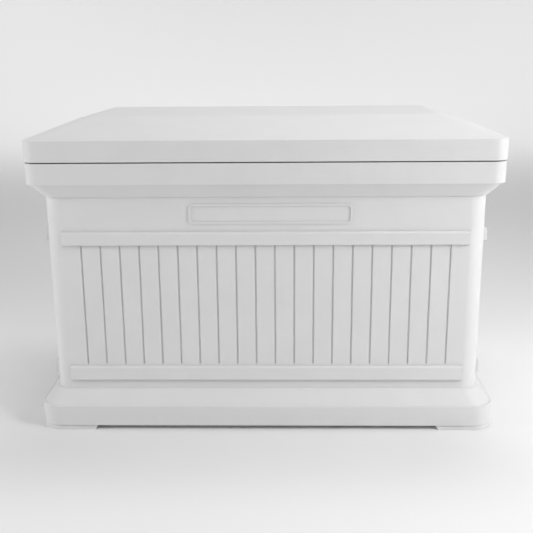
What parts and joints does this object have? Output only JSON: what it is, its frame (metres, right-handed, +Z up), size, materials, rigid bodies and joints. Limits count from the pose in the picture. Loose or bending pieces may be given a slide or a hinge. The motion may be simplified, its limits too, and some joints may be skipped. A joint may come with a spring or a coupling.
{
  "type": "parcel drop box",
  "caption": "Low wide moulded parcel chest with panelled double walls, a flared base and a hipped rear-hinged lid on gas stays, with a side cam lock.",
  "frame": {"origin": "on the ground, under the middle of the lid's outline", "axes": "+X to the right as seen from the front, +Y towards the hinged back, +Z up"},
  "size_m": [0.9702, 0.5731, 0.651],
  "materials": {
    "moulded_shell": "satin white rotationally moulded polyethylene",
    "liner": "satin pale grey polyethylene",
    "rubber": "matt black rubber",
    "screw_steel": "plain stainless steel",
    "zinc_steel": "zinc-plated pressed steel",
    "black_tube": "black painted steel tube",
    "chrome": "polished chrome plate",
    "black_plastic": "satin black moulded plastic"
  },
  "bodies": {
    "box": {"anchor_plug_back_left": "black_plastic", "anchor_plug_back_right": "black_plastic", "anchor_plug_front_left": "black_plastic", "anchor_plug_front_right": "black_plastic", "body_shell": "moulded_shell", "floor_mat": "rubber", "hinge_body_leaf_left": "zinc_steel", "hinge_body_leaf_right": "zinc_steel", "hinge_body_screw_left_1": "screw_steel", "hinge_body_screw_left_2": "screw_steel", "hinge_body_screw_left_3": "screw_steel", "hinge_body_screw_right_1": "screw_steel", "hinge_body_screw_right_2": "screw_steel", "hinge_body_screw_right_3": "screw_steel", "hinge_pin_left": "screw_steel", "hinge_pin_right": "screw_steel", "inner_liner": "liner", "lock_housing": "chrome", "lock_nut": "zinc_steel", "stay_body_bracket_left": "zinc_steel", "stay_body_bracket_right": "zinc_steel", "stay_body_screw_left_1": "screw_steel", "stay_body_screw_left_2": "screw_steel", "stay_body_screw_right_1": "screw_steel", "stay_body_screw_right_2": "screw_steel"},
    "lid": {"hinge_lid_leaf_left": "zinc_steel", "hinge_lid_leaf_right": "zinc_steel", "hinge_lid_screw_left_1": "screw_steel", "hinge_lid_screw_left_2": "screw_steel", "hinge_lid_screw_left_3": "screw_steel", "hinge_lid_screw_right_1": "screw_steel", "hinge_lid_screw_right_2": "screw_steel", "hinge_lid_screw_right_3": "screw_steel", "lid_liner": "liner", "lid_seal": "rubber", "lid_shell": "moulded_shell", "lid_strike": "zinc_steel", "lid_strike_screw_1": "screw_steel", "lid_strike_screw_2": "screw_steel", "stay_lid_bracket_left": "zinc_steel", "stay_lid_bracket_right": "zinc_steel", "stay_lid_screw_left_1": "screw_steel", "stay_lid_screw_left_2": "screw_steel", "stay_lid_screw_right_1": "screw_steel", "stay_lid_screw_right_2": "screw_steel"},
    "lock_cylinder": {"lock_plug": "chrome", "lock_cam": "zinc_steel", "lock_cam_screw": "screw_steel"},
    "stay_cylinder_left": {"stay_cylinder_left": "black_tube", "stay_lower_socket_left": "black_plastic"},
    "stay_rod_left": {"stay_rod_left": "chrome", "stay_upper_socket_left": "black_plastic"},
    "stay_cylinder_right": {"stay_cylinder_right": "black_tube", "stay_lower_socket_right": "black_plastic"},
    "stay_rod_right": {"stay_rod_right": "chrome", "stay_upper_socket_right": "black_plastic"}
  },
  "joints": [
    {"name": "lid_hinge", "type": "hinge", "parent": "box", "child": "lid", "pos_m": [0, 0.2855, 0.5722], "axis": [-1, 0, 0], "range_deg": [0, 80]},
    {"name": "stay_cylinder_left_pivot", "type": "hinge", "parent": "box", "child": "stay_cylinder_left", "pos_m": [-0.407, 0.175, 0.26125], "axis": [-1, 0, 0], "range_deg": [0, 40]},
    {"name": "stay_rod_left_pivot", "type": "hinge", "parent": "lid", "child": "stay_rod_left", "pos_m": [-0.407, -0.04361, 0.548], "axis": [1, 0, 0], "range_deg": [0, 40]},
    {"name": "stay_cylinder_right_pivot", "type": "hinge", "parent": "box", "child": "stay_cylinder_right", "pos_m": [0.407, 0.175, 0.26125], "axis": [-1, 0, 0], "range_deg": [0, 40]},
    {"name": "stay_rod_right_pivot", "type": "hinge", "parent": "lid", "child": "stay_rod_right", "pos_m": [0.407, -0.04361, 0.548], "axis": [1, 0, 0], "range_deg": [0, 40]},
    {"name": "lock_turn", "type": "hinge", "parent": "box", "child": "lock_cylinder", "pos_m": [0.4818, -0.12, 0.546], "axis": [1, 0, 0], "range_deg": [0, 90]}
  ],
  "couplings": [
    {"joint": "stay_cylinder_left_pivot", "follows": "lid_hinge", "ratio": 0.5},
    {"joint": "stay_rod_left_pivot", "follows": "lid_hinge", "ratio": 0.5},
    {"joint": "stay_cylinder_right_pivot", "follows": "lid_hinge", "ratio": 0.5},
    {"joint": "stay_rod_right_pivot", "follows": "lid_hinge", "ratio": 0.5}
  ]
}
